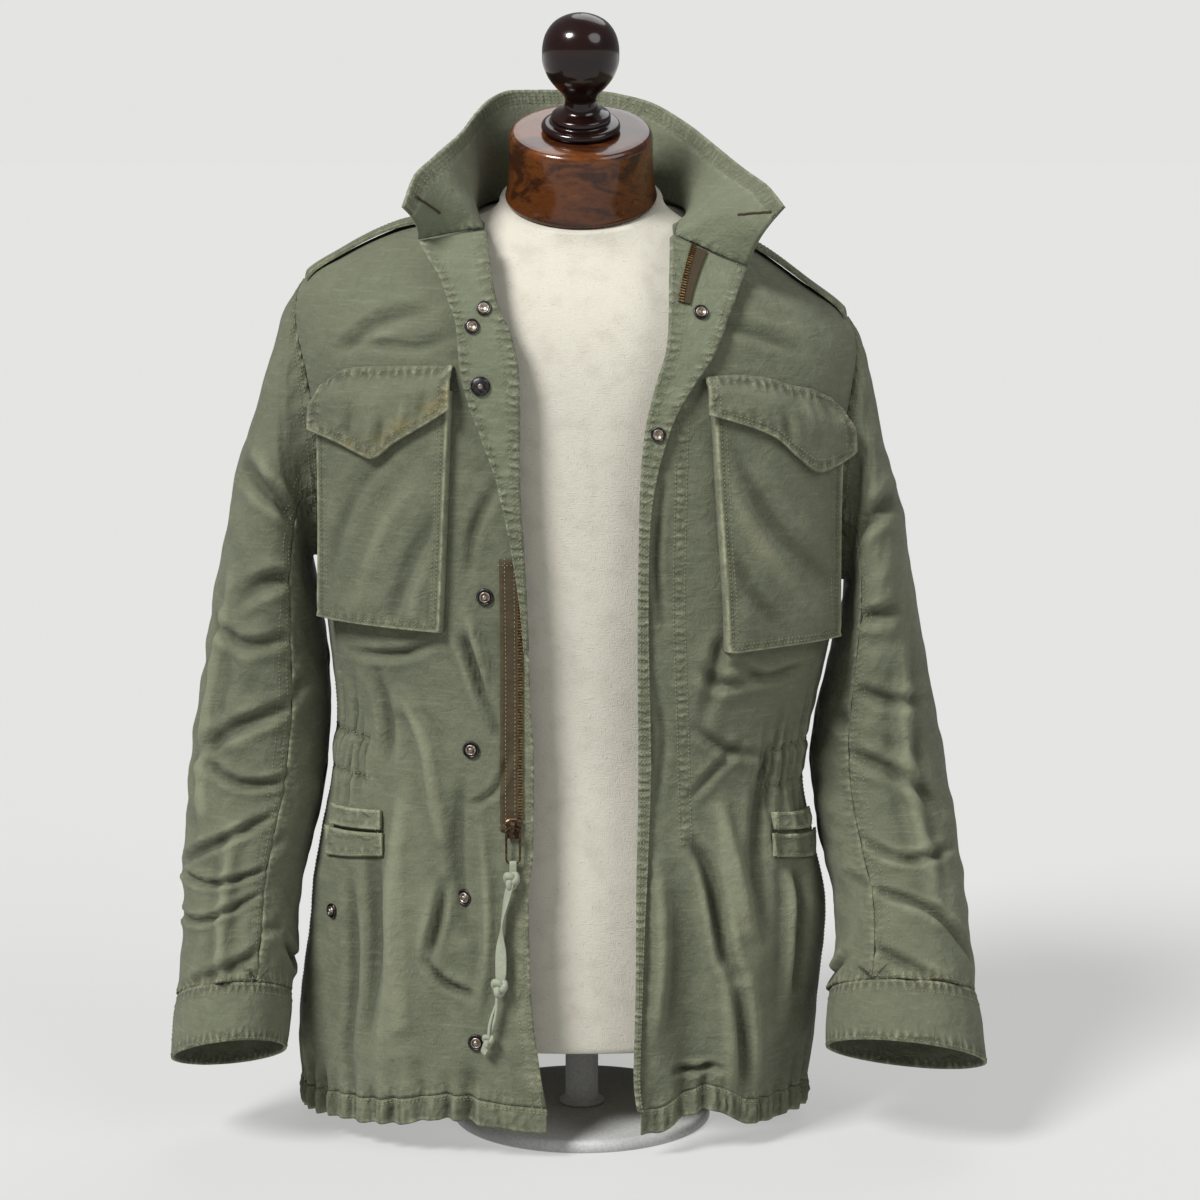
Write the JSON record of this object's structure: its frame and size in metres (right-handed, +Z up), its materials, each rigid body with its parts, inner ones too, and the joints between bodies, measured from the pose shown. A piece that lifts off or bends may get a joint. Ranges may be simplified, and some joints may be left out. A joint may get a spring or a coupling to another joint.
{
  "type": "field jacket on a limbless dress form",
  "caption": "Olive cotton field jacket worn open on a limbless dress form, with standing collar, bellows chest pockets, shoulder straps, snap fly and a half zip with a cotton tape pull.",
  "frame": {"origin": "under the middle of the whole, on the floor that the form's base stands on", "axes": "+X towards the wearer's left, -Y towards the front, +Z up"},
  "size_m": [0.6798, 0.2717, 0.9334],
  "materials": {
    "cloth_olive": "faded, washed cotton sateen",
    "cloth_sage": "paler inner side of the cotton sateen",
    "zip_tape": "woven brown-olive cotton tape",
    "cotton_tape": "pale grey-green woven cotton tape",
    "bronze": "dark, worn bronze",
    "gunmetal": "black enamel over metal, worn at the rims",
    "linen": "speckled natural linen drawn tight",
    "walnut": "glossy polished walnut",
    "mahogany": "glossy, very dark mahogany",
    "painted_steel": "pale grey satin paint"
  },
  "bodies": {
    "jacket_and_form": {"back": "cloth_olive", "collar": "cloth_sage", "cuff_left": "cloth_olive", "cuff_right": "cloth_olive", "facing_left": "cloth_sage", "facing_right": "cloth_sage", "flap_left": "cloth_olive", "flap_right": "cloth_olive", "form_base": "painted_steel", "form_finial": "mahogany", "form_neck_block": "walnut", "form_post": "painted_steel", "form_torso": "linen", "front_left": "cloth_olive", "front_right": "cloth_olive", "hem_back": "cloth_olive", "hem_front_left": "cloth_olive", "hem_front_right": "cloth_olive", "hip_flap_left": "cloth_olive", "hip_flap_right": "cloth_olive", "hip_welt_left": "cloth_olive", "hip_welt_right": "cloth_olive", "pocket_left": "cloth_olive", "pocket_right": "cloth_olive", "sleeve_top_left": "cloth_olive", "sleeve_top_right": "cloth_olive", "sleeve_under_left": "cloth_olive", "sleeve_under_right": "cloth_olive", "snap_cap_1": "gunmetal", "snap_hip": "gunmetal", "snap_ring_1": "gunmetal", "snap_ring_2": "gunmetal", "snap_socket_1": "gunmetal", "snap_socket_2": "gunmetal", "snap_stud_1": "gunmetal", "snap_stud_2": "gunmetal", "snap_stud_3": "gunmetal", "snap_stud_4": "gunmetal", "strap_left": "cloth_olive", "strap_right": "cloth_olive", "zip_slider": "bronze", "zip_tape_left": "zip_tape", "zip_tape_right": "zip_tape"},
    "pull": {"zip_pull": "bronze", "pull_tape": "cotton_tape", "pull_knot_upper": "cotton_tape", "pull_knot_lower": "cotton_tape", "pull_knot_end": "cotton_tape"}
  },
  "joints": [
    {"name": "pull_hinge", "type": "hinge", "parent": "jacket_and_form", "child": "pull", "pos_m": [-0.05298, -0.12353, 0.28103], "axis": [-1, 0, 0], "range_deg": [0, 110]}
  ]
}
